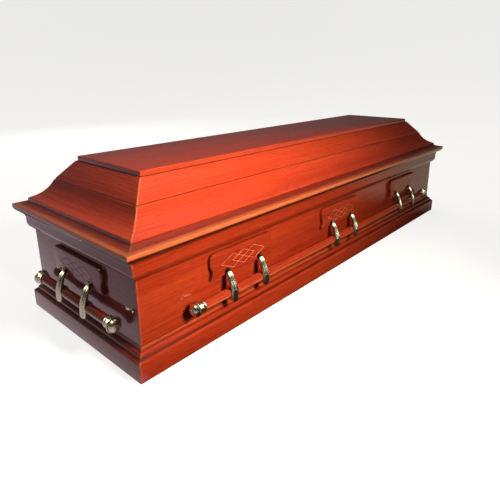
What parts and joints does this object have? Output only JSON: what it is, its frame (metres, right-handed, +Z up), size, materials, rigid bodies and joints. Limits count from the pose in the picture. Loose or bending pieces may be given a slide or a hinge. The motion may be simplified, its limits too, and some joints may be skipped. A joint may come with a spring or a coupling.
{
  "type": "coffin",
  "caption": "Lacquered wooden coffin with a stepped plinth, moulded rim, raised hollow-sided lid that lifts off, carved plaques, and round bar handles on brass arms with domed caps",
  "frame": {"origin": "on the floor under the middle of the coffin", "axes": "+X along the length with the nearer end in the picture at -X, the visible long side faces -Y, +Z up"},
  "size_m": [2.069, 0.699, 0.532],
  "materials": {
    "lacquered_wood": "high gloss lacquer over red-brown mahogany stain, fine grain along the length",
    "lid_wood": "high gloss lacquer over red-brown mahogany stain, grain along each length",
    "bar_wood": "high gloss lacquer over red-brown stain, turned round",
    "raw_wood": "plain sawn board, unlacquered",
    "antique_brass": "cast and polished antique brass with darkened hollows"
  },
  "bodies": {
    "root": {"bottom_board": "raw_wood", "front_board": "lacquered_wood", "front_plinth": "lacquered_wood", "front_rim": "lacquered_wood", "front_handle_bar": "bar_wood", "front_bar_cap_right": "antique_brass", "front_bar_cap_left": "antique_brass", "front_plaque_1": "lacquered_wood", "front_plaque_2": "lacquered_wood", "front_plaque_3": "lacquered_wood", "front_arm_1": "antique_brass", "front_arm_2": "antique_brass", "front_arm_3": "antique_brass", "front_arm_4": "antique_brass", "front_arm_5": "antique_brass", "front_arm_6": "antique_brass", "back_board": "lacquered_wood", "back_plinth": "lacquered_wood", "back_rim": "lacquered_wood", "back_handle_bar": "bar_wood", "back_bar_cap_right": "antique_brass", "back_bar_cap_left": "antique_brass", "back_plaque_1": "lacquered_wood", "back_plaque_2": "lacquered_wood", "back_plaque_3": "lacquered_wood", "back_arm_1": "antique_brass", "back_arm_2": "antique_brass", "back_arm_3": "antique_brass", "back_arm_4": "antique_brass", "back_arm_5": "antique_brass", "back_arm_6": "antique_brass", "left_board": "lacquered_wood", "left_plinth": "lacquered_wood", "left_rim": "lacquered_wood", "left_handle_bar": "bar_wood", "left_bar_cap_right": "antique_brass", "left_bar_cap_left": "antique_brass", "left_plaque_1": "lacquered_wood", "left_arm_1": "antique_brass", "left_arm_2": "antique_brass", "right_board": "lacquered_wood", "right_plinth": "lacquered_wood", "right_rim": "lacquered_wood", "right_handle_bar": "bar_wood", "right_bar_cap_right": "antique_brass", "right_bar_cap_left": "antique_brass", "right_plaque_1": "lacquered_wood", "right_arm_1": "antique_brass", "right_arm_2": "antique_brass", "lid_front_cornice": "lid_wood", "lid_front_slope": "lid_wood", "lid_back_cornice": "lid_wood", "lid_back_slope": "lid_wood", "lid_left_cornice": "lid_wood", "lid_left_slope": "lid_wood", "lid_right_cornice": "lid_wood", "lid_right_slope": "lid_wood", "lid_top_board": "lid_wood"}
  },
  "joints": []
}
